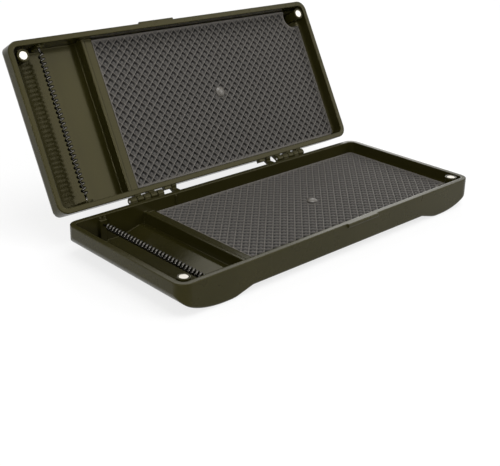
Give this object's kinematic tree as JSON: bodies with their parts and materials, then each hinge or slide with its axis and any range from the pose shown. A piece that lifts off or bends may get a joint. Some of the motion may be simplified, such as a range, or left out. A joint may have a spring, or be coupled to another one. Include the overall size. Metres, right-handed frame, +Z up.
{
  "type": "hinged rig box",
  "caption": "Flat two-halved fishing rig box with foam pads, hook springs and magnets, its lid hinged open.",
  "frame": {"origin": "bottom middle of the open box's bounding box, on the plane that the base's feet stand on", "axes": "+X along the front edge from the spring end to the far end, +Y from the front edge to the hinges, +Z up"},
  "size_m": [0.238, 0.169, 0.1106],
  "materials": {
    "shell": "satin moulded polypropylene, dark olive",
    "foam": "matt embossed closed-cell foam",
    "magnet_plate": "bright nickel plate",
    "spring_wire": "blackened spring wire",
    "stud": "satin moulded polyamide",
    "pin_steel": "drawn steel wire"
  },
  "bodies": {
    "base": {"base_tray": "shell", "base_foam_pad": "foam", "base_pad_stud": "stud", "base_magnet_left": "magnet_plate", "base_magnet_right": "magnet_plate", "base_spring": "spring_wire", "hinge_pin_left": "pin_steel", "hinge_pin_right": "pin_steel"},
    "lid": {"lid_shell": "shell", "lid_foam_pad": "foam", "lid_pad_stud": "stud", "lid_magnet_left": "magnet_plate", "lid_magnet_right": "magnet_plate", "lid_spring": "spring_wire"}
  },
  "joints": [
    {"name": "lid_hinge", "type": "hinge", "parent": "base", "child": "lid", "pos_m": [0, 0.02118, 0.01808], "axis": [1, 0, 0], "range_deg": [0, 118.6]}
  ]
}
